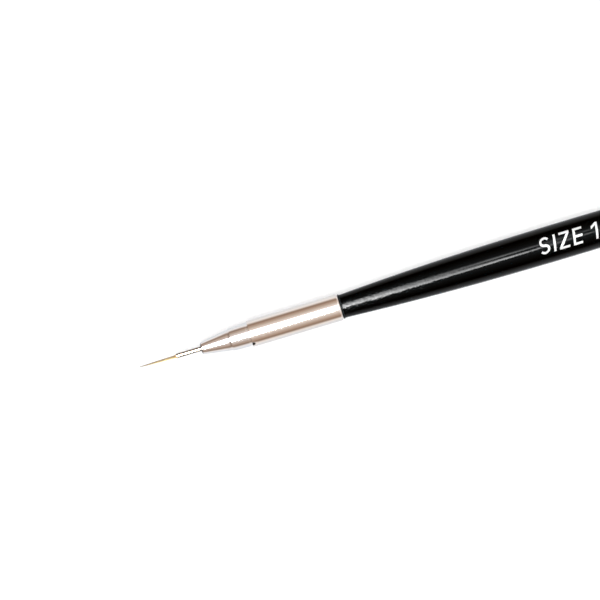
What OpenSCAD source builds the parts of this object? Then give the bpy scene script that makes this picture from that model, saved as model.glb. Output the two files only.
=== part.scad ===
// Fine detail brush: a tuft of fine hair in a capillary tube, a two-piece
// metal ferrule and a turned, lacquered wooden handle. Millimetres, +Z up.
// The brush lies on the belly of its handle with its axis along X: the hair
// tip is at -X, the handle's end at +X, and the origin is under the middle.

/* [Overall] */
// Length from the hair tip to the end of the handle
overall_len = 180; // [165:1:210]

/* [Hair] */
// Free length of the tuft, from the tube's mouth to the tip
tuft_len = 6; // [4:0.1:8]
// Diameter of the hair bundle
bundle_d = 0.52; // [0.44:0.01:0.54]
// Diameter of the tuft at its tip
tip_d = 0.06; // [0.04:0.01:0.12]
// Length of hair that stands out behind the tube
root_behind = 1.5; // [1.3:0.1:1.8]
// Diameter of the thread that ties the hair together
thread_d = 0.12; // [0.08:0.01:0.14]
// Turns of that thread
thread_turns = 5; // [3:1:6]

/* [Fine tube] */
// Outer diameter of the fine tube
tube_d = 0.72; // [0.68:0.01:0.9]
// Bore of the fine tube
tube_bore = 0.56; // [0.56:0.01:0.6]
// Length of tube ahead of the nose
tube_out = 4; // [3:0.1:6]
// Length of tube inside the nose
tube_in = 6; // [5:0.1:6.2]

/* [Nose of the ferrule] */
// Length of nose ahead of the sleeve
nose_out = 7.9; // [7.5:0.1:10]
// Length of nose pressed into the sleeve
nose_in = 3; // [2:0.1:3.5]
// Diameter of the nose at its mouth
mouth_d = 1.84; // [1.5:0.02:2.2]
// Diameter of the nose where its taper ends
taper_d = 3.3; // [3:0.01:3.4]
// Diameter behind the small shoulder there
shoulder_d = 3.56; // [3.5:0.01:3.68]
// Length of that shoulder
shoulder_len = 0.5; // [0.2:0.05:0.8]
// Distance from the end of the taper to the sleeve
shoulder_back = 3.4; // [3:0.1:4]
// Length over which the mouth grips the tube
mouth_grip = 1; // [0.6:0.1:1.5]

/* [Sleeve of the ferrule] */
// Outer diameter of the sleeve
sleeve_d = 4.2; // [4.2:0.01:4.4]
// Thickness of the ferrule's metal
wall = 0.25; // [0.2:0.01:0.26]
// Length of the sleeve
sleeve_len = 14.7; // [13:0.1:20]
// Length of the lip rolled in at the rear of the sleeve
lip_len = 0.4; // [0.3:0.1:1.2]
// How far that lip is rolled in
lip_in = 0.1; // [0.05:0.01:0.13]

/* [Handle] */
// Diameter of the lacquered handle where it enters the sleeve
joint_d = 3.42; // [3.2:0.01:3.42]
// Diameter of its neck, just behind the sleeve
neck_d = 3.68; // [3.5:0.01:3.8]
// Distance from the sleeve to that neck, over a groove and a rounded shoulder
neck_len = 0.3; // [0.2:0.05:0.5]
// Width of the open groove between the sleeve and the shoulder
groove_w = 0.12; // [0.05:0.01:0.15]
// Largest diameter of the handle
belly_d = 5.7; // [4.5:0.1:7]
// Distance from the sleeve to the belly
belly_back = 38.8; // [30:0.1:50]
// Diameter of the handle at its end
tail_d = 2.8; // [2:0.1:3.6]
// Thickness of the lacquer
coat = 0.1; // [0.06:0.01:0.12]
// Length of lacquer inside the sleeve
coat_in = 1.5; // [1:0.1:2]
// Length of the handle inside the sleeve
tenon_in = 10; // [7:0.5:10]

/* [Size mark] */
// Height of the letters
letter_h = 2.56; // [1.8:0.02:3]
// Width of a broad letter
letter_w = 1.62; // [1.2:0.02:2]
// Width of their strokes
stroke_w = 0.34; // [0.2:0.02:0.4]
// Forward lean of the letters, in degrees
lean = 9; // [0:1:15]
// Distance from the sleeve to the middle of the mark
mark_back = 36.4; // [30:0.1:60]
// Thickness of the printed film
film = 0.02; // [0.02:0.01:0.05]

/* [Hidden] */

// Facets round the thick pieces, and round the hair and the fine tube
ROUND = 96;
FINE = 48;
// Clearance of the tuft's ball behind it, and steps of its curved outline
BALL_GAP = 0.04;
TUFT_STEPS = 8;
// How far the tuft's pivot stands ahead of the tube, so that it clears the mouth
PIVOT_OUT = 0.2;
// Exponents of the handle's curves and of the tuft's taper
SWELL = 2.3;
REAR_START = 1.6;
REAR_END = 1.25;
TAPER = 0.9;
// Steps along the handle's front and rear curves, and degrees at its rounded shoulder and end
FRONT_STEPS = 16;
REAR_STEPS = 20;
END_STEP = 15;

// Stations along the axis, counted from the hair tip
tube_front = tuft_len;
pivot_z = tube_front - PIVOT_OUT;
nose_front = tube_front + tube_out;
tube_rear = nose_front + tube_in;
root_rear = tube_rear + root_behind;
sleeve_front = nose_front + nose_out;
shoulder_z = sleeve_front - shoulder_back;
nose_rear = sleeve_front + nose_in;
sleeve_rear = sleeve_front + sleeve_len;
tenon_front = sleeve_rear - tenon_in;
coat_front = sleeve_rear - coat_in;
neck_z = sleeve_rear + neck_len;
belly_z = sleeve_rear + belly_back;
tail_r = tail_d / 2;
tail_z = overall_len - tail_r;

bundle_r = bundle_d / 2;
tube_r = tube_d / 2;
sleeve_r = sleeve_d / 2;
bore_r = sleeve_r - wall;
joint_r = joint_d / 2;
tenon_r = joint_r - coat;

// Stands the axis of a turned piece along X, over the belly's resting line
module lay() {
    translate([-overall_len / 2, 0, belly_d / 2]) rotate([0, 90, 0]) children();
}

// A turned piece: the outline is a list of [radius, station]
module turned(outline, facets = ROUND) {
    lay() rotate_extrude($fn = facets) polygon(outline);
}

function reversed(list) = [for (i = [len(list) - 1:-1:0]) list[i]];

// ---- Hair ----------------------------------------------------------------

function tuft_r(z) = tip_d / 2 + (bundle_r - tip_d / 2) * pow(z / pivot_z, TAPER);

// The tuft: a slim cone with half a ball at its root, which turns in the tube's mouth
module tuft() {
    cone = [for (i = [0:TUFT_STEPS]) let (z = pivot_z * i / TUFT_STEPS) [tuft_r(z), z]];
    color("goldenrod") {
        turned(concat([[0, 0]], cone, [[0, pivot_z]]), FINE);
        lay() translate([0, 0, pivot_z]) intersection() {
            sphere(r = bundle_r, $fn = FINE);
            translate([-bundle_r, -bundle_r, 0]) cube(2 * bundle_r);
        }
    }
}

// The same hairs where the tube holds them, with their ends behind it
module hair_root() {
    front = pivot_z + bundle_r + BALL_GAP;
    color("peru")
        turned([[0, front], [tube_bore / 2, front], [tube_bore / 2, root_rear], [0, root_rear]], FINE);
}

// Thread bound round the hair behind the tube, one ridge for each turn
module root_tie() {
    inner = tube_bore / 2;
    ridge = [for (n = [0:thread_turns - 1]) for (a = [150:-30:30])
        [inner + thread_d / 2 + thread_d / 2 * sin(a),
         tube_rear + thread_d * (n + 1) + thread_d / 2 * cos(a)]];
    last = len(ridge) - 1;
    color("linen")
        turned(concat([[inner, ridge[0].y]], ridge, [[inner, ridge[last].y]]), FINE);
}

// Drop of glue that seals the cut ends of the hair
module root_glue() {
    inner = tube_bore / 2;
    drop_r = 2 * inner;
    front = root_rear - drop_r;
    dome = [for (a = [0:END_STEP:90]) [drop_r * cos(a), root_rear - drop_r / 2 + drop_r * sin(a)]];
    color("sandybrown")
        turned(concat([[inner, front]], dome, [[0, root_rear], [inner, root_rear]]), FINE);
}

// ---- Ferrule -------------------------------------------------------------

// Capillary tube that gathers the hair
module fine_tube() {
    edge = (tube_r - tube_bore / 2) / 3;
    color("silver") turned([
        [tube_bore / 2, tube_front],
        [tube_r - edge, tube_front],
        [tube_r, tube_front + edge],
        [tube_r, tube_rear],
        [tube_bore / 2, tube_rear]], FINE);
}

// Station and radius of the nose between its shoulder and the sleeve, q from 0 to 1
function brow_z(q) = shoulder_z + shoulder_len + (shoulder_back - shoulder_len) * q;
function brow_r(q) = shoulder_d / 2 + (bore_r - shoulder_d / 2) * sin(90 * q);

// Outline of the nose from the end of its taper to the sleeve, inset by a wall
function brow(inset) = concat(
    [[taper_d / 2 - inset, shoulder_z]],
    [for (q = [0:0.25:1]) [brow_r(q) - inset, brow_z(q)]]);

// The inside of the nose behind its grip on the tube
function nose_inside() = concat([[tube_r, nose_front + mouth_grip]], brow(wall));

// Tapered nose, thick at the mouth, where it is closed round the tube
module nose() {
    edge = wall / 4;
    color("antiquewhite") turned(concat(
        [[tube_r, nose_front], [mouth_d / 2 - edge, nose_front], [mouth_d / 2, nose_front + edge]],
        brow(0),
        [[bore_r, nose_rear], [bore_r - wall, nose_rear]],
        reversed(nose_inside())));
}

// Glue cast in the nose, round the rear of the tube
module nose_filler() {
    rear = brow_z(0.25);
    inside = [for (p = nose_inside()) if (p.y <= rear) p];
    color("burlywood") turned(concat(inside, [[tube_r, rear]]));
}

// Parallel sleeve with its rear edge rolled in to the handle
module sleeve() {
    straight = sleeve_rear - lip_len;
    edge = wall / 3;
    roll = [for (a = [0:END_STEP:90]) [-lip_in * (1 - cos(a)), straight + lip_len * sin(a)]];
    outside = [for (p = roll) [sleeve_r + p.x, p.y]];
    inside = [for (p = roll) [bore_r + p.x, p.y]];
    color("bisque") turned(concat(
        [[bore_r, sleeve_front], [sleeve_r - edge, sleeve_front], [sleeve_r, sleeve_front + edge]],
        outside,
        reversed(inside)));
}

// ---- Handle --------------------------------------------------------------

// Radius of the lacquered handle from its neck to the belly, t from 0 to 1
function front_r(t) = (belly_d - (belly_d - neck_d) * pow(1 - t, SWELL)) / 2;

// Radius of the lacquered handle behind the belly, t from 0 to 1
function rear_r(t) = tail_r + (belly_d / 2 - tail_r) * pow(1 - pow(t, REAR_START), REAR_END);

// Outline of the handle from the sleeve to its round end, inset by a coat
function handle_outline(inset) = concat(
    [[joint_r - inset, sleeve_rear]],
    [for (a = [0:END_STEP:90 - END_STEP])
        [joint_r + (neck_d - joint_d) / 2 * sin(a) - inset,
         sleeve_rear + groove_w + (neck_len - groove_w) * (1 - cos(a))]],
    [for (i = [0:FRONT_STEPS]) let (t = i / FRONT_STEPS)
        [front_r(t) - inset, neck_z + (belly_z - neck_z) * t]],
    [for (i = [1:REAR_STEPS]) let (t = i / REAR_STEPS)
        [rear_r(t) - inset, belly_z + (tail_z - belly_z) * t]],
    [for (a = [END_STEP:END_STEP:90]) [(tail_r - inset) * cos(a), tail_z + (tail_r - inset) * sin(a)]]);

// Turned wood, with the raw tenon that goes into the sleeve
module handle_core() {
    bevel = tenon_r / 5;
    color("burlywood") turned(concat(
        [[0, tenon_front], [tenon_r - bevel, tenon_front], [tenon_r, tenon_front + bevel]],
        handle_outline(coat)));
}

// Coat of lacquer, which starts just inside the sleeve and closes over the end
module lacquer() {
    color([0.03, 0.03, 0.03]) turned(concat(
        [[tenon_r, coat_front], [joint_r, coat_front]],
        handle_outline(0),
        reversed(handle_outline(coat))));
}

// Glue between the tenon and the sleeve
module tenon_glue() {
    front = tenon_front + 2 * wall;
    rear = coat_front - wall;
    color("khaki")
        turned([[tenon_r, front], [bore_r, front], [bore_r, rear], [tenon_r, rear]]);
}

// ---- Size mark -----------------------------------------------------------

// A point of a letter, leaned forward
function leaned(p) = [p.x + p.y * tan(lean), p.y];

// Direction square to the path at point i
function across(path, i) =
    let (a = path[max(i - 1, 0)], b = path[min(i + 1, len(path) - 1)], d = b - a)
    [-d.y, d.x] / norm(d);

// One pen stroke along a curved or straight path
module stroke(path) {
    half = stroke_w / 2;
    left = [for (i = [0:len(path) - 1]) leaned(path[i] + half * across(path, i))];
    right = [for (i = [0:len(path) - 1]) leaned(path[i] - half * across(path, i))];
    polygon(concat(left, reversed(right)));
}

// An upright or level bar of a letter, from its lower left corner
module bar(corner, size) {
    polygon([for (p = [[0, 0], [1, 0], [1, 1], [0, 1]])
        leaned(corner + [p.x * size.x, p.y * size.y])]);
}

// Letters stand on y = 0 and start at x = 0. The bowls of the S are half ellipses.
bowl = [(letter_w - stroke_w) / 2, (letter_h - stroke_w) / 4];
letter_gap = 0.6;
word_gap = 1.3;

module letter_s() {
    upper = [letter_w / 2, letter_h - stroke_w / 2 - bowl.y];
    lower = [letter_w / 2, stroke_w / 2 + bowl.y];
    stroke(concat(
        [for (a = [30:20:270]) upper + [bowl.x * cos(a), bowl.y * sin(a)]],
        [for (a = [70:-20:-150]) lower + [bowl.x * cos(a), bowl.y * sin(a)]]));
}

module letter_i() bar([0, 0], [stroke_w, letter_h]);

module letter_z() {
    slant = 1.3 * stroke_w;
    polygon([for (p = [
        [0, 0], [letter_w, 0], [letter_w, stroke_w], [slant, stroke_w],
        [letter_w, letter_h - stroke_w], [letter_w, letter_h], [0, letter_h],
        [0, letter_h - stroke_w], [letter_w - slant, letter_h - stroke_w], [0, stroke_w]])
        leaned(p)]);
}

module letter_e() {
    bar([0, 0], [stroke_w, letter_h]);
    for (y = [0, (letter_h - stroke_w) / 2, letter_h - stroke_w])
        bar([0, y], [letter_w - stroke_w / 2, stroke_w]);
}

// A one: its stem and flag in one outline
module figure_1() {
    stem = 2 * stroke_w;
    polygon([for (p = [
        [stem, 0], [stem + stroke_w, 0], [stem + stroke_w, letter_h], [stem, letter_h],
        [0, letter_h - 1.4 * stroke_w], [0, letter_h - 2.6 * stroke_w],
        [stem, letter_h - 1.2 * stroke_w]])
        leaned(p)]);
}

// Left edge of each glyph
i_x = letter_w + letter_gap;
z_x = i_x + stroke_w + letter_gap;
e_x = z_x + letter_w + letter_gap;
one_x = e_x + letter_w + word_gap;
mark_len = one_x + 3 * stroke_w;

module mark_outline() {
    letter_s();
    translate([i_x, 0]) letter_i();
    translate([z_x, 0]) letter_z();
    translate([e_x, 0]) letter_e();
    translate([one_x, 0]) figure_1();
}

// Printed size mark: a film on top of the lacquer, read from above
module size_mark() {
    skin = [for (p = handle_outline(0)) if (abs(p.y - sleeve_rear - mark_back) < mark_len) p];
    color("white") intersection() {
        turned(concat(skin, [for (p = reversed(skin)) [p.x + film, p.y]]));
        translate([sleeve_rear + mark_back - (overall_len + mark_len) / 2, -letter_h / 2, belly_d / 2])
            linear_extrude(height = belly_d) mark_outline();
    }
}

tuft();
hair_root();
root_tie();
root_glue();
fine_tube();
nose();
nose_filler();
sleeve();
tenon_glue();
handle_core();
lacquer();
size_mark();
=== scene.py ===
"""Looks of the fine detail brush: turned metal and lacquer, separate hairs, materials, studio, camera."""
import math
import random

import bmesh
import bpy
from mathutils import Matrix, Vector


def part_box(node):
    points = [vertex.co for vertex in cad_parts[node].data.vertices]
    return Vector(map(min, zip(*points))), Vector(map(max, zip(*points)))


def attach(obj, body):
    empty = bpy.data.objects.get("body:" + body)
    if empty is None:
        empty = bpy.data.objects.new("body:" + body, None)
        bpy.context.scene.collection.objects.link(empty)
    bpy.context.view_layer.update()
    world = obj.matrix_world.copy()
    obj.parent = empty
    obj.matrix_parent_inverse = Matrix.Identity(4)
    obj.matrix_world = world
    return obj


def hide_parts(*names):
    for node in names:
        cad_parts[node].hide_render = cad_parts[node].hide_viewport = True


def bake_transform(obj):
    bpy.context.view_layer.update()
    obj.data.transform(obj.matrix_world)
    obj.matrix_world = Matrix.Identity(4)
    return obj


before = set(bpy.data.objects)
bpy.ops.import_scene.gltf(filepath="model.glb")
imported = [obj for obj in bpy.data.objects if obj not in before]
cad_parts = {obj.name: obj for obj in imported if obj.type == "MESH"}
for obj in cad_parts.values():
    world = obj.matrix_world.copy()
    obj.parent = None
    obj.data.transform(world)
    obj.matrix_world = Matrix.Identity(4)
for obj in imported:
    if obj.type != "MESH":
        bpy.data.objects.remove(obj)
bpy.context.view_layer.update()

MM = 0.001
random.seed(7)

# ---- The frame's stations and radii, in metres ------------------------------

AXIS_Z = sum(corner.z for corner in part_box("fine_tube")) / 2
TIP_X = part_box("tuft")[0].x
TUBE_FRONT, TUBE_REAR = (corner.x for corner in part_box("fine_tube"))
NOSE_FRONT, NOSE_REAR = (corner.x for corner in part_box("nose"))
SLEEVE_FRONT, SLEEVE_REAR = (corner.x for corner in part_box("sleeve"))
COAT_FRONT, TAIL_X = (corner.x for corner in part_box("lacquer"))


def radius_of(node):
    """Half the height of a turned node's box."""
    low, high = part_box(node)
    return (high.z - low.z) / 2


TUBE_R = radius_of("fine_tube")
BORE_R = radius_of("nose")
SLEEVE_R = radius_of("sleeve")
BELLY_R = radius_of("lacquer")
BUNDLE_R = radius_of("tuft")
TUBE_BORE_R = radius_of("hair_root")

# Sizes that part.scad gives and no box shows, with the powers in the handle's two curves last
WALL = SLEEVE_R - BORE_R
MOUTH_R = 0.92 * MM
MOUTH_GRIP = 1.0 * MM
TAPER_R = 1.65 * MM
TAPER_X = SLEEVE_FRONT - 3.4 * MM
SHOULDER_R = 1.78 * MM
SHOULDER_X = TAPER_X + 0.5 * MM
LIP_LEN = 0.4 * MM
LIP_IN = 0.1 * MM
JOINT_R = 1.71 * MM
COAT = 0.1 * MM
BELLY_X = SLEEVE_REAR + 38.8 * MM
TAIL_R = 1.4 * MM
NECK_R = 1.84 * MM
SWELL, REAR_START, REAR_END = 2.3, 1.6, 1.25

# Details that the CAD leaves out: the nick in the sleeve's front edge, the gap between the sleeve and the
# handle, and the bead of lacquer that closes the handle's front
NICK_X = SLEEVE_FRONT + 0.12 * MM
NICK_TURN = math.radians(-51)
NICK = Vector((NICK_X, SLEEVE_R * math.sin(NICK_TURN), AXIS_Z + SLEEVE_R * math.cos(NICK_TURN)))
NICK_R = 0.42 * MM
NICK_DEPTH = 0.13 * MM
SLEEVE_GAP = 0.06 * MM
BEAD_R = 0.13 * MM
BEAD_X = SLEEVE_REAR + BEAD_R


# ---- Mesh helpers -------------------------------------------------------------

# A point of an outline that is nearer to the axis than this lies on it
ON_AXIS = 1e-9
# Edges that turn by more than this stay sharp
SHARP_TURN = math.radians(28)


def new_object(name, mesh):
    """A mesh as a named object in the scene."""
    piece = bpy.data.objects.new(name, mesh)
    bpy.context.scene.collection.objects.link(piece)
    return piece


def turned(name, outline, segments=160):
    """A turned piece about the brush's axis. The outline is a closed loop of (x, radius)."""
    mesh = bpy.data.meshes.new(name)
    bm = bmesh.new()
    rings = []
    for x, r in outline:
        if r < ON_AXIS:
            rings.append([bm.verts.new((x, 0, AXIS_Z))])
            continue
        turns = [2 * math.pi * k / segments for k in range(segments)]
        rings.append([bm.verts.new((x, r * math.sin(a), AXIS_Z + r * math.cos(a))) for a in turns])
    for one, two in zip(rings, rings[1:] + rings[:1]):
        for k in range(segments):
            quad = [one[k % len(one)], one[(k + 1) % len(one)], two[(k + 1) % len(two)], two[k % len(two)]]
            corners = list(dict.fromkeys(quad))
            if len(corners) > 2:
                bm.faces.new(corners)
    bmesh.ops.recalc_face_normals(bm, faces=bm.faces)
    for face in bm.faces:
        face.smooth = True
    for edge in bm.edges:
        edge.smooth = edge.calc_face_angle(0) < SHARP_TURN
    bm.to_mesh(mesh)
    bm.free()
    return new_object(name, mesh)


def spread(low, high, count):
    """A number of evenly spaced values from low to high, both included."""
    return [low + (high - low) * i / (count - 1) for i in range(count)]


def rounded(centre, radius, start_deg, end_deg, count=6):
    """Points of an arc in the outline's plane: 0 degrees points along +X, 90 away from the axis."""
    angles = [math.radians(a) for a in spread(start_deg, end_deg, count)]
    return [(centre[0] + radius * math.cos(a), centre[1] + radius * math.sin(a)) for a in angles]


# ---- Handle ---------------------------------------------------------------------

def handle_r(x):
    """Radius of the lacquered handle at x, ahead of its round end. A bead of lacquer closes its front."""
    if x < BEAD_X - BEAD_R:
        return JOINT_R
    if x <= BELLY_X:
        t = max((x - BEAD_X) / (BELLY_X - BEAD_X), 0)
        bead = math.sqrt(max(BEAD_R ** 2 - (x - BEAD_X) ** 2, 0))
        return BELLY_R - (BELLY_R - NECK_R) * (1 - t) ** SWELL + bead
    t = min((x - BELLY_X) / (TAIL_X - TAIL_R - BELLY_X), 1)
    return TAIL_R + (BELLY_R - TAIL_R) * (1 - t ** REAR_START) ** REAR_END


def make_lacquer():
    """The coat as an outer and an inner skin, from inside the sleeve to the handle's round end."""
    end = (TAIL_X - TAIL_R, 0)
    bead = [BEAD_X - BEAD_R * math.cos(math.radians(a)) for a in spread(0, 180, count=15)]
    joint = spread(COAT_FRONT, BEAD_X - BEAD_R, count=5)[:-1] + [BEAD_X - 1.001 * BEAD_R]
    # Close rings behind the bead keep the smooth shading of its foot narrow
    behind = [BEAD_X + 1.01 * BEAD_R, BEAD_X + 1.1 * BEAD_R]
    along = joint + bead + behind + spread(BEAD_X + 1.5 * BEAD_R, end[0], count=300)
    outer = [(x, handle_r(x)) for x in along] + rounded(end, TAIL_R, 90, 0, count=14)[1:]
    inner = [(x, handle_r(x) - COAT) for x in along] + rounded(end, TAIL_R - COAT, 90, 0, count=10)[1:]
    outer[-1] = (TAIL_X, 0)
    inner[-1] = (TAIL_X - COAT, 0)
    return turned("lacquer_coat", outer + inner[::-1], segments=192)


# ---- Ferrule --------------------------------------------------------------------

def make_sleeve():
    """The tube with rounded edges, its lip rolled in at the rear, and the nick pressed into its front."""
    edge = 0.07 * MM
    end = SLEEVE_REAR - SLEEVE_GAP
    straight = end - LIP_LEN
    front = rounded((SLEEVE_FRONT + edge, SLEEVE_R - edge), edge, 180, 90)
    # Rings in millimetres from the front, closest where the nick is
    rings = (0.12, 0.18, 0.26, 0.36, 0.5, 1, 3, 6, 9, 12)
    body = [(SLEEVE_FRONT + ring * MM, SLEEVE_R) for ring in rings]
    roll = [(straight + (LIP_LEN - edge) * math.sin(math.radians(a)),
             -LIP_IN * (1 - math.cos(math.radians(a)))) for a in spread(0, 90, count=14)]
    lip = [(x, SLEEVE_R + dr) for x, dr in roll]
    rear = rounded((end - edge, SLEEVE_R - LIP_IN - edge), edge, 90, 0)[1:]
    inside = [(x, BORE_R + dr) for x, dr in reversed(roll)]
    inside[0] = (end, BORE_R - LIP_IN)
    sleeve = turned("sleeve_tube", front + body + lip + rear + inside + [(SLEEVE_FRONT, BORE_R)])
    for vertex in sleeve.data.vertices:
        off = (vertex.co - NICK).length / NICK_R
        if off < 1:
            centre = Vector((vertex.co.x, 0, AXIS_Z))
            vertex.co += (centre - vertex.co).normalized() * (NICK_DEPTH * (1 - off * off) ** 2)
    return sleeve


def brow_r(x):
    """Radius of the nose between its shoulder and the sleeve."""
    q = min((x - SHOULDER_X) / (SLEEVE_FRONT - SHOULDER_X), 1)
    return SHOULDER_R + (BORE_R - SHOULDER_R) * math.sin(math.pi / 2 * q)


def make_nose():
    """The cone, a soft step to the shoulder, the brow with a fine groove, and the shank in the sleeve."""
    # The mouth is dished, deepest where it meets the tube, and its edge is round
    edge = 0.18 * MM
    dish_depth = 0.2 * MM
    dish_r = TUBE_R + 0.2 * MM
    mouth = [(NOSE_FRONT + dish_depth, TUBE_R), (NOSE_FRONT + 0.8 * dish_depth, dish_r)]
    mouth += rounded((NOSE_FRONT + edge, MOUTH_R - edge), edge, 200, 100)
    cone = [(x, MOUTH_R + (TAPER_R - MOUTH_R) * (x - NOSE_FRONT) / (TAPER_X - NOSE_FRONT))
            for x in spread(NOSE_FRONT + 2 * edge, TAPER_X, count=24)]
    # The step is a cubic curve that leaves the cone and meets the brow at their own slopes
    step = SHOULDER_X - TAPER_X
    slope_in = (TAPER_R - MOUTH_R) / (TAPER_X - NOSE_FRONT) * step
    slope_out = math.pi / 2 * (BORE_R - SHOULDER_R) / (SLEEVE_FRONT - SHOULDER_X) * step
    for q in spread(0, 1, count=9)[1:-1]:
        ease = q * q * (3 - 2 * q)
        bend = slope_in * q * (1 - q) ** 2 - slope_out * q * q * (1 - q)
        cone.append((TAPER_X + step * q, TAPER_R + (SHOULDER_R - TAPER_R) * ease + bend))
    groove_x = SLEEVE_FRONT - 0.3 * MM
    groove_w = 0.1 * MM
    groove_depth = 0.02 * MM
    brow = []
    for x in spread(SHOULDER_X, SLEEVE_FRONT, count=90):
        dip = math.exp(-((x - groove_x) / groove_w * 2) ** 2)
        brow.append((x, brow_r(x) - groove_depth * dip))
    shank = [(NOSE_REAR, BORE_R), (NOSE_REAR, BORE_R - WALL)]
    inside = [(x, brow_r(x) - WALL) for x in spread(SLEEVE_FRONT, SHOULDER_X, count=8)]
    inside += [(TAPER_X, TAPER_R - WALL), (NOSE_FRONT + MOUTH_GRIP, TUBE_R)]
    return turned("nose_cone", mouth + cone + brow + shank + inside)


def make_fine_tube():
    """The capillary tube with a round lip at its mouth."""
    lip = (TUBE_R - TUBE_BORE_R) / 2
    mouth = rounded((TUBE_FRONT + lip, TUBE_R - lip), lip, 270, 90, count=9)
    body = [(TUBE_REAR, TUBE_R), (TUBE_REAR, TUBE_BORE_R)]
    return turned("capillary_tube", mouth + body, segments=64)


# ---- Hair -----------------------------------------------------------------------

HAIR_R = 0.036 * MM
HAIR_SIDES = 7
HAIR_RINGS = 30
# Each hair loses this share of its thickness, and ends in a short point
HAIR_THINNING = 0.5
HAIR_END = HAIR_R / 2
# The hairs start inside the tube's mouth, with this many rows on each side of the middle one
ROOT_X = TUBE_FRONT + 0.1 * MM
ROWS = 3
# The bundle narrows to WAIST of its width just outside the tube, and then draws in to a point
WAIST = 0.62
WAIST_LEN = 0.05
DRAW_IN = 0.5
DRAW_CURVE = 2.2
# Hairs past EDGE_PLACE, in units of their spacing, are the near edge, painted gold as a glow of light through
# the hairs, and stand out by EDGE_OUT
EDGE_PLACE = -1.9
EDGE_OUT = 1.25
# By how much the outer hairs, and any hair, may be shorter, and how far a tip drifts
SHORTER_OUTSIDE = 0.22
SHORTER_ANYWHERE = 0.03
DRIFT = 0.012


def packed_places(rows):
    """Centres of hairs packed in a hexagon, as (y, z) in units of the spacing."""
    places = []
    for row in range(-rows, rows + 1):
        count = 2 * rows + 1 - abs(row)
        for k in range(count):
            places.append((k - (count - 1) / 2, row * math.sqrt(3) / 2))
    return places


def hair_points(y, z, length, drift):
    """The centre line of one hair from inside the tube's mouth to its own tip."""
    points = []
    for i in range(HAIR_RINGS):
        t = i / (HAIR_RINGS - 1)
        x = ROOT_X - length * t
        out = max(0.0, (TUBE_FRONT - x) / (TUBE_FRONT - TIP_X))
        gather = WAIST + (1 - WAIST) * math.exp(-out / WAIST_LEN) - DRAW_IN * out ** DRAW_CURVE
        sway = out * out
        points.append(Vector((x, y * gather + drift[0] * sway, AXIS_Z + z * gather + drift[1] * sway)))
    return points


def make_tuft(name, glow_edge):
    """The near edge's hairs, painted gold as a glow of light through them, or all the others. Only the middle
    hair is sure to reach the tip.
    """
    spacing = (BUNDLE_R - HAIR_R) / ROWS
    full = ROOT_X - TIP_X - HAIR_END
    mesh = bpy.data.meshes.new(name)
    bm = bmesh.new()
    for y, z in packed_places(ROWS):
        reach = math.hypot(y, z) / ROWS
        length = full * (1 - SHORTER_OUTSIDE * reach * random.random() - SHORTER_ANYWHERE * random.random())
        if reach == 0:
            length = full
        drift = (random.gauss(0, DRIFT) * MM, random.gauss(0, DRIFT) * MM)
        if glow_edge != (y < EDGE_PLACE):
            continue
        points = hair_points(y * spacing * (EDGE_OUT if glow_edge else 1), z * spacing, length, drift)
        tip = points[-1] - Vector((HAIR_END, 0, 0))
        turn = random.random() * math.tau
        rings = []
        for i, p in enumerate(points):
            t = i / (HAIR_RINGS - 1)
            r = HAIR_R * (1 - HAIR_THINNING * t ** 3)
            rings.append([bm.verts.new(p + Vector((0, r * math.cos(turn + a), r * math.sin(turn + a))))
                          for a in (math.tau * k / HAIR_SIDES for k in range(HAIR_SIDES))])
        for one, two in zip(rings, rings[1:]):
            for k in range(HAIR_SIDES):
                n = (k + 1) % HAIR_SIDES
                bm.faces.new((one[k], one[n], two[n], two[k]))
        for ring, end, step in ((rings[0], points[0], 1), (rings[-1], tip, -1)):
            cap = bm.verts.new(end)
            for k in range(HAIR_SIDES):
                bm.faces.new((cap, ring[(k + 1) % HAIR_SIDES], ring[k])[::step])
    bmesh.ops.recalc_face_normals(bm, faces=bm.faces)
    for face in bm.faces:
        face.smooth = True
    bm.to_mesh(mesh)
    bm.free()
    return new_object(name, mesh)


def make_mouth_glue():
    """The thin ring of glue that wicks out between the hairs and the tube."""
    front_x = TUBE_FRONT - 0.16 * MM
    wide_x = TUBE_FRONT + 0.02 * MM
    rear_x = TUBE_FRONT + 0.06 * MM
    front_r = BUNDLE_R * 0.9
    wide_r = TUBE_BORE_R + 0.05 * MM
    inside_front_r = BUNDLE_R * 0.86
    inside_rear_r = BUNDLE_R * 0.8
    outline = [(front_x, inside_front_r)]
    for q in spread(0, 1, count=7):
        outline.append((front_x + (wide_x - front_x) * q, front_r + (wide_r - front_r) * q ** 2))
    outline += [(rear_x, TUBE_BORE_R), (rear_x, inside_rear_r)]
    return turned("mouth_glue", outline, segments=48)


# ---- Materials ------------------------------------------------------------------

LACQUER_IOR = 1.23


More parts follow.
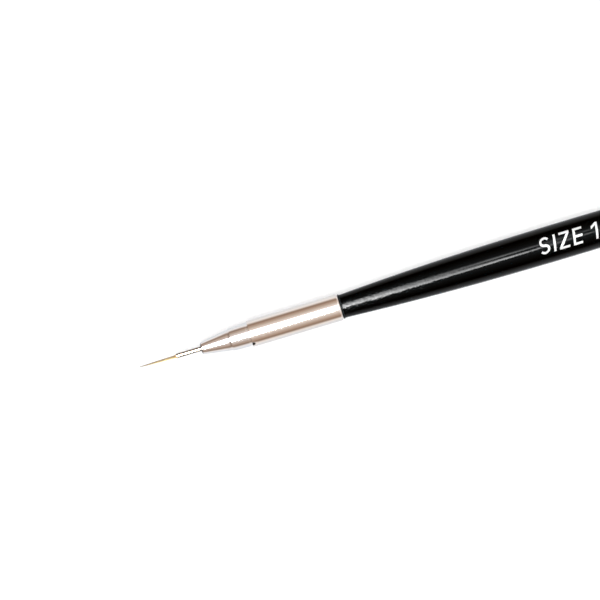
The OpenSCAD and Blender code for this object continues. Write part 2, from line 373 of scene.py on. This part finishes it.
class Nodes:
    """A material with one Principled shader, and short calls for the nodes that feed it.

    Names of sockets have _ in place of a space."""

    def __init__(self, name, **sockets):
        self.material = bpy.data.materials.new(name)
        self.material.use_nodes = True
        self.tree = self.material.node_tree
        self.shader = self.tree.nodes["Principled BSDF"]
        for socket, value in sockets.items():
            self.shader.inputs[socket.replace("_", " ")].default_value = value

    def add(self, kind, inputs=None, **settings):
        """A node with its settings, and its inputs linked to sockets or set to values."""
        node = self.tree.nodes.new(kind)
        for key, value in settings.items():
            setattr(node, key, value)
        for key, value in (inputs or {}).items():
            if isinstance(value, bpy.types.NodeSocket):
                self.tree.links.new(value, node.inputs[key])
            else:
                node.inputs[key].default_value = value
        return node

    def feed(self, socket, output):
        self.tree.links.new(output, self.shader.inputs[socket])

    def place(self, scale):
        """Object coordinates, stretched by a scale for each axis."""
        coordinates = self.add("ShaderNodeTexCoord").outputs["Object"]
        return self.add("ShaderNodeMapping", {"Vector": coordinates, "Scale": scale}).outputs["Vector"]

    def noise(self, scale, detail=3.0):
        """Noise in cells of about one millimetre over scale, along X, Y and Z."""
        where = self.place([s / MM for s in scale])
        inputs = {"Vector": where, "Scale": 1.0, "Detail": detail, "Roughness": 0.5}
        return self.add("ShaderNodeTexNoise", inputs).outputs["Fac"]

    def ramp(self, value, low, high, to_low, to_high, kind="LINEAR"):
        """The value from low to high, mapped to a new range and held beyond its ends."""
        inputs = {"Value": value, "From Min": low, "From Max": high, "To Min": to_low, "To Max": to_high}
        return self.add("ShaderNodeMapRange", inputs, interpolation_type=kind).outputs["Result"]

    def math(self, operation, *values):
        return self.add("ShaderNodeMath", dict(enumerate(values)), operation=operation).outputs[0]

    def along(self, axis):
        """The place along one axis of the object, in metres."""
        coordinates = self.add("ShaderNodeTexCoord").outputs["Object"]
        return self.add("ShaderNodeSeparateXYZ", {0: coordinates}).outputs[axis]

    def stops(self, value, stops):
        """A colour that runs through stops of (place from 0 to 1, colour)."""
        ramp = self.add("ShaderNodeValToRGB", {0: value})
        points = ramp.color_ramp.elements
        while len(points) < len(stops):
            points.new(1.0)
        for point, (where, colour) in zip(points, stops):
            point.position = where
            point.color = (*colour, 1)
        return ramp.outputs["Color"]

    def mix(self, factor, one, two):
        """A colour that goes from one to two as the factor goes from 0 to 1."""
        node = self.add("ShaderNodeMix", data_type="RGBA")
        self.tree.links.new(factor, node.inputs[0])
        for socket, colour in ((node.inputs[6], one), (node.inputs[7], two)):
            if isinstance(colour, bpy.types.NodeSocket):
                self.tree.links.new(colour, socket)
            else:
                socket.default_value = (*colour, 1)
        return node.outputs[2]

    def bump(self, height, distance, strength=1.0, normal=None):
        """The surface's normal, bent by a height, on top of another bump's normal if there is one."""
        inputs = {"Height": height, "Distance": distance, "Strength": strength}
        if normal is not None:
            inputs["Normal"] = normal
        return self.add("ShaderNodeBump", inputs).outputs["Normal"]


def nickel(name, light, dark, painted_shade=None):
    """Bright plating with faint draw lines along the brush.

    Painted shade is (centre, near, far, colour): a darker colour painted on the plating, full within near of
    the centre and gone at far."""
    m = Nodes(name, Metallic=1.0)
    lines = m.noise((0.12, 9, 9), detail=4)
    haze = m.noise((0.5, 0.8, 0.8), detail=3)
    colour = m.mix(m.ramp(lines, 0.35, 0.65, 0, 1), dark, light)
    if painted_shade:
        # Painted shade: the plating's colour is darkened around a point, standing in for the shade in a dent
        # or at an edge
        centre, near, far, shade_colour = painted_shade
        coordinates = m.add("ShaderNodeTexCoord").outputs["Object"]
        off = m.add("ShaderNodeVectorMath", {0: coordinates, 1: centre}, operation="DISTANCE")
        colour = m.mix(m.ramp(off.outputs["Value"], near, far, 1, 0, "SMOOTHSTEP"), colour, shade_colour)
    m.feed("Base Color", colour)
    m.feed("Roughness", m.ramp(haze, 0.3, 0.7, 0.06, 0.12))
    m.feed("Normal", m.bump(lines, 0.001 * MM, 0.5))
    return m.material


def black_lacquer():
    """Thick gloss coat with a matt bead, a few specks of dust, and runs and grain that fade to the rear."""
    m = Nodes("black_lacquer", IOR=LACQUER_IOR)
    fleck = m.noise((2, 2, 2), detail=2)
    m.feed("Base Color", m.mix(fleck, (0.0001, 0.0012, 0.0019), (0.0006, 0.0018, 0.0025)))

    fade_end = SLEEVE_REAR + 24 * MM
    near = m.ramp(m.along("X"), SLEEVE_REAR, fade_end, 1, 0.15, "SMOOTHSTEP")
    pits = m.ramp(m.noise((2.2, 2.8, 2.8), detail=2), 0.5, 0.6, 0, 0.18)
    off_bead = m.math("ABSOLUTE", m.math("SUBTRACT", m.along("X"), BEAD_X))
    bead = m.ramp(off_bead, BEAD_R, 1.2 * BEAD_R, 0.6, 0)
    matt = m.math("MAXIMUM", m.math("MULTIPLY", pits, near), bead)
    gloss = m.ramp(m.noise((0.6, 1.2, 1.2)), 0.3, 0.7, 0.05, 0.08)
    m.feed("Roughness", m.math("ADD", matt, gloss))

    runs = m.math("MULTIPLY", m.noise((0.7, 1.3, 1.3), detail=3), near)
    grain = m.math("MULTIPLY", m.noise((2.4, 3.2, 3.2), detail=2), near)
    dust = m.add("ShaderNodeTexVoronoi", {"Vector": m.place([1 / MM] * 3), "Scale": 0.3}).outputs["Distance"]
    nibs = m.ramp(dust, 0, 0.04, 1, 0, "SMOOTHSTEP")
    normal = m.bump(runs, 0.04 * MM)
    normal = m.bump(grain, 0.025 * MM, normal=normal)
    m.feed("Normal", m.bump(nibs, 0.03 * MM, normal=normal))
    return m.material


def hair_material(name, light, dark):
    """Two shades, streaked and different for each hair, and darker towards the tip of the tuft."""
    m = Nodes(name, Roughness=0.5, IOR=1.35)
    each = m.add("ShaderNodeNewGeometry").outputs["Random Per Island"]
    streak = m.noise((0.6, 14, 14), detail=2)
    shade = m.math("MULTIPLY", each, streak)
    colour = m.mix(m.ramp(shade, 0.1, 0.6, 0, 1), dark, light)
    tip = m.ramp(m.along("X"), TIP_X + 1.0 * MM, TIP_X + 2.8 * MM, 0.45, 1, "SMOOTHSTEP")
    darker = m.add("ShaderNodeVectorMath", {0: colour, "Scale": tip}, operation="SCALE")
    m.feed("Base Color", darker.outputs["Vector"])
    return m.material


def glue_material(name, light, dark):
    """Clear hard glue, with its body drawn as a slightly uneven colour."""
    m = Nodes(name, Roughness=0.18, IOR=1.5)
    m.feed("Base Color", m.mix(m.noise((3, 3, 3)), dark, light))
    return m.material


def print_material():
    """Matt white ink with a fine grain."""
    m = Nodes("white_print", Roughness=0.45)
    grain = m.noise((9, 9, 9), detail=3)
    m.feed("Base Color", m.mix(m.ramp(grain, 0.3, 0.7, 0, 1), (0.74, 0.74, 0.74), (0.86, 0.86, 0.86)))
    m.feed("Normal", m.bump(grain, 0.004 * MM, 0.4))
    return m.material


def wood_material():
    """Raw wood with its grain along the handle."""
    m = Nodes("handle_wood", Roughness=0.7)
    grain = m.noise((0.15, 5, 5), detail=5)
    m.feed("Base Color", m.mix(m.ramp(grain, 0.3, 0.7, 0, 1), (0.42, 0.26, 0.13), (0.68, 0.5, 0.31)))
    m.feed("Normal", m.bump(grain, 0.02 * MM, 0.5))
    return m.material


def thread_material():
    """Twisted pale thread."""
    m = Nodes("thread", Roughness=0.8)
    twist = m.noise((20, 8, 8), detail=2)
    m.feed("Base Color", m.mix(twist, (0.6, 0.54, 0.42), (0.85, 0.8, 0.7)))
    m.feed("Normal", m.bump(twist, 0.01 * MM, 0.6))
    return m.material


def floor_material():
    """Bright paper that is lit from behind as well, so that shadows on it stay faint."""
    m = Nodes("white_base", Roughness=0.9, Emission_Color=(1, 1, 1, 1), Emission_Strength=0.48)
    m.feed("Base Color", m.mix(m.noise((0.05, 0.05, 0.05)), (0.49, 0.49, 0.49), (0.5, 0.5, 0.5)))
    return m.material


# ---- Build ----------------------------------------------------------------------

def dress(piece, material, body=None, node=None):
    """Gives a new piece its material and body, and hides the CAD node it stands for."""
    piece.data.materials.clear()
    piece.data.materials.append(material)
    if body:
        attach(piece, body)
    if node:
        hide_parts(node)


def repaint(node, material):
    """A CAD node keeps its mesh and gets a better material."""
    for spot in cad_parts[node].material_slots:
        spot.material = material


# Painted shade: the plating is darkened in and around the nick, standing in for the shade in its dent
nick_painted_shade = (NICK, 0.26 * MM, 0.46 * MM, (0.05, 0.045, 0.04))
nose_mouth = Vector((NOSE_FRONT, 0, AXIS_Z))
# Painted shade: a cool grey round the rim of the nose's mouth, standing in for the dark reflection at its
# rounded edge
mouth_painted_shade = (nose_mouth, MOUTH_R - 0.05 * MM, MOUTH_R + 0.1 * MM, (0.5, 0.51, 0.55))
plating = nickel("nickel", (0.81, 0.765, 0.735), (0.76, 0.715, 0.68), nick_painted_shade)
silver = nickel("nickel_nose", (0.82, 0.81, 0.815), (0.73, 0.72, 0.725), mouth_painted_shade)
tube_steel = nickel("tube_steel", (0.31, 0.27, 0.225), (0.23, 0.2, 0.16))
amber = glue_material("epoxy", (0.78, 0.56, 0.26), (0.62, 0.4, 0.15))
brown_hair = hair_material("hair", (0.43, 0.31, 0.15), (0.165, 0.1, 0.045))
# Painted light: the near-edge hairs get a lit, gold-coloured copy of the hair, standing in for light shining
# through the tuft
painted_glow_hair = hair_material("painted_glow_hair", (0.97, 0.76, 0.25), (0.74, 0.52, 0.13))

dress(make_lacquer(), black_lacquer(), "brush", "lacquer")
dress(make_sleeve(), plating, "brush", "sleeve")
dress(make_nose(), silver, "brush", "nose")
fine_tube = make_fine_tube()
fine_tube.visible_shadow = False
dress(fine_tube, tube_steel, "brush", "fine_tube")
dress(make_mouth_glue(), amber, "brush")
tufts = ((make_tuft("tuft_hairs", False), brown_hair), (make_tuft("tuft_glow_edge", True), painted_glow_hair))
for hairs, shade in tufts:
    dress(hairs, shade, node="tuft")
    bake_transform(hairs)
    hairs.visible_shadow = False

repaint("size_mark", print_material())
repaint("hair_root", brown_hair)
repaint("root_tie", thread_material())
repaint("handle_core", wood_material())
for filled in ("root_glue", "nose_filler", "tenon_glue"):
    repaint(filled, amber)


# ---- Studio ---------------------------------------------------------------------

# What the gloss sees is a bare room: pale paper below, dim warm walls and one big soft light overhead.
# It shines in reflections only; the floor and the matt pieces are lit by area lights of their own.
AIM = Vector((SLEEVE_REAR, 0, AXIS_Z))
ROOM_R = 4.0
# Degrees from the zenith, and the colour that the room has there
ROOM = (
    (180, (0.92, 0.94, 0.97)),
    (124, (0.93, 0.95, 0.99)),
    (105, (1.12, 1.07, 1.03)),
    (93, (0.74, 0.65, 0.59)),
    (84, (0.37, 0.265, 0.2)),
    (73, (0.4, 0.28, 0.21)),
    (62, (0.55, 0.41, 0.32)),
    (53, (0.65, 0.52, 0.43)),
    (43, (0.75, 0.63, 0.56)),
    (34, (0.93, 0.83, 0.75)),
    (20, (1.15, 1.1, 1.05)),
)
# Changes in the overhead light's strength from the tip to the handle's end, as (from x, to x, change)
LIGHT_STEPS = ((-0.02, 0.06, -6.5), (0.06, 0.09, 9), (0.1, 0.13, -6), (0.13, 0.16, -10))
LAMP_DISTANCE = 1.4


def glowing(name):
    """A material that only shines, with its node tree for the caller to finish."""
    black = (0, 0, 0, 1)
    return Nodes(name, Base_Color=black, Roughness=1.0, Specular_IOR_Level=0.0, Emission_Strength=1.0)


def reflected_only(piece):
    """Part of the studio that only the gloss sees."""
    piece.visible_camera = False
    piece.visible_diffuse = False
    piece.visible_shadow = False


def make_floor():
    """The table under the brush, which the gloss sees as part of the room instead."""
    bpy.ops.mesh.primitive_grid_add(x_subdivisions=8, y_subdivisions=8, size=6)
    floor = bpy.context.object
    floor.name = "studio_floor"
    floor.data.materials.append(floor_material())
    floor.visible_glossy = False


def soft_light(m, x, y):
    """Strength of the overhead light at x, y: tangents of the angle off the zenith, along X and along Y."""
    strength = m.ramp(x, -0.12, -0.02, 48, 22)
    for near, far, change in LIGHT_STEPS:
        strength = m.math("ADD", strength, m.ramp(x, near, far, 0, change))
    across = m.math("ADD", m.ramp(y, -0.25, 0, 2.0, 1.05), m.ramp(y, 0, 0.3, 0, -0.6))

    # The light is square and hangs by one corner, so two edges meet on the near side; one has a dent
    end_edge = m.math("MULTIPLY_ADD", x, -0.9, y)
    tip_edge = m.math("ADD", m.math("MULTIPLY_ADD", x, 0.95, y), 0.43)
    dent = m.math("MINIMUM", m.ramp(x, -0.19, -0.14, 0, 0.12), m.ramp(x, -0.09, -0.055, 0.12, 0))
    corner = m.math("SUBTRACT", m.math("MINIMUM", end_edge, tip_edge), dent)
    near_side = m.math("POWER", m.ramp(corner, -0.385, -0.28, 0, 1, "SMOOTHSTEP"), 3)
    far_side = m.math("POWER", m.ramp(y, 0.22, 0.52, 1, 0, "SMOOTHSTEP"), 2)
    tip_side = m.ramp(x, -1.4, -0.9, 0, 1, "SMOOTHSTEP")
    end_side = m.ramp(x, 0.25, 0.35, 1, 0)
    for side in (across, near_side, far_side, tip_side, end_side):
        strength = m.math("MULTIPLY", strength, side)

    # Its middle is a dark bar towards the handle's end
    off_middle = m.math("ABSOLUTE", m.math("SUBTRACT", y, 0.075))
    middle = m.ramp(off_middle, 0.07, 0.15, 1, 0, "SMOOTHSTEP")
    depth = m.math("ADD", m.ramp(x, 0.04, 0.075, 0, 0.85), m.ramp(x, 0.085, 0.11, 0, 0.15))
    return m.math("MULTIPLY", strength, m.math("SUBTRACT", 1.0, m.math("MULTIPLY", middle, depth)))


def make_room():
    """The surroundings of the table, seen by the gloss alone."""
    bpy.ops.mesh.primitive_uv_sphere_add(segments=48, ring_count=24, radius=ROOM_R)
    room = bpy.context.object
    room.name = "studio_room"
    room.location = AIM
    m = glowing("warm_room")
    x, y, z = (m.along(axis) for axis in "XYZ")
    level = m.ramp(z, -ROOM_R, ROOM_R, 0, 1)
    walls = m.stops(level, [((1 + math.cos(math.radians(a))) / 2, c) for a, c in ROOM])

    # The light is high up, so the small z that would spoil the tangents can be left out
    up = m.math("MAXIMUM", z, 0.1)
    light = soft_light(m, m.math("DIVIDE", x, up), m.math("DIVIDE", y, up))
    light = m.math("MULTIPLY", light, m.ramp(z, 0.2 * ROOM_R, 0.3 * ROOM_R, 0, 1))
    both = m.add("ShaderNodeVectorMath", {0: walls, 1: light}, operation="ADD").outputs["Vector"]

    # The room is brighter and cooler past the handle's end, above the table, and dark past the tip
    past_end = m.ramp(x, 0.2 * ROOM_R, 0.35 * ROOM_R, 0, 1, "SMOOTHSTEP")
    above_table = m.ramp(z, -0.12 * ROOM_R, 0.08 * ROOM_R, 0, 1, "SMOOTHSTEP")
    bright_end = m.mix(m.math("MULTIPLY", past_end, above_table), (1, 1, 1), (1.8, 2.1, 2.4))
    lit = m.add("ShaderNodeVectorMath", {0: both, 1: bright_end}, operation="MULTIPLY").outputs["Vector"]
    dark_end = m.ramp(x, -0.8 * ROOM_R, -0.45 * ROOM_R, 0.2, 1)
    ends = m.add("ShaderNodeVectorMath", {0: lit, "Scale": dark_end}, operation="SCALE")
    m.feed("Emission Color", ends.outputs["Vector"])
    room.data.materials.append(m.material)
    reflected_only(room)


def light_direction(lean, side):
    """Towards a light that leans from the zenith over the tip, and to the near side."""
    a, b = math.radians(lean), math.radians(side)
    return Vector((-math.sin(a), -math.sin(b), math.cos(a))).normalized()


def face(thing, direction, distance):
    """Puts a thing at a distance in one direction, and turns it to the brush."""
    thing.location = AIM + direction * distance
    thing.rotation_mode = "QUATERNION"
    thing.rotation_quaternion = (-direction).to_track_quat("-Z", "Y")


def make_lamp(name, lean, side, size, power):
    """An area light for the floor and the matt pieces, unseen in the gloss."""
    data = bpy.data.lights.new(name, "AREA")
    data.shape = "DISK"
    data.size = size
    data.energy = power
    lamp = bpy.data.objects.new(name, data)
    bpy.context.scene.collection.objects.link(lamp)
    face(lamp, light_direction(lean, side), LAMP_DISTANCE)
    lamp.visible_glossy = False


def make_world():
    """A pale backdrop for the camera; it lights nothing."""
    world = bpy.data.worlds.new("studio")
    world.use_nodes = True
    world.node_tree.nodes["Background"].inputs["Color"].default_value = (0.95, 0.95, 0.95, 1)
    world.cycles_visibility.diffuse = False
    world.cycles_visibility.glossy = False
    bpy.context.scene.world = world


def make_camera():
    """Straight down, rolled so that the brush rises to the right, with the tip left of the middle and low."""
    roll = math.radians(16.7)
    view_width = 93.3 * MM
    tip_left = 0.26737 * view_width
    tip_down = 0.11178 * view_width
    lens = 100
    data = bpy.data.cameras.new("camera")
    data.lens = lens
    camera = bpy.data.objects.new("camera", data)
    bpy.context.scene.collection.objects.link(camera)
    right = Vector((math.cos(roll), -math.sin(roll), 0))
    up = Vector((math.sin(roll), math.cos(roll), 0))
    tip = Vector((TIP_X, 0, AXIS_Z))
    centre = tip + right * tip_left + up * tip_down
    height = view_width * lens / data.sensor_width
    camera.location = centre + Vector((0, 0, height))
    camera.rotation_euler = (0, 0, -roll)
    data.clip_start = 0.01
    data.clip_end = 20
    bpy.context.scene.camera = camera


def set_grade():
    """Plain colours, with the black point raised a little as in a catalogue picture."""
    view = bpy.context.scene.view_settings
    view.view_transform = "Standard"
    view.use_curve_mapping = True
    view.curve_mapping.black_level = (0.005, 0.005, 0.005)
    view.curve_mapping.update()


make_floor()
make_room()
make_lamp("key", lean=2, side=3, size=0.7, power=18)
make_lamp("fill", lean=-8, side=6, size=2.4, power=6)
make_world()
make_camera()
set_grade()
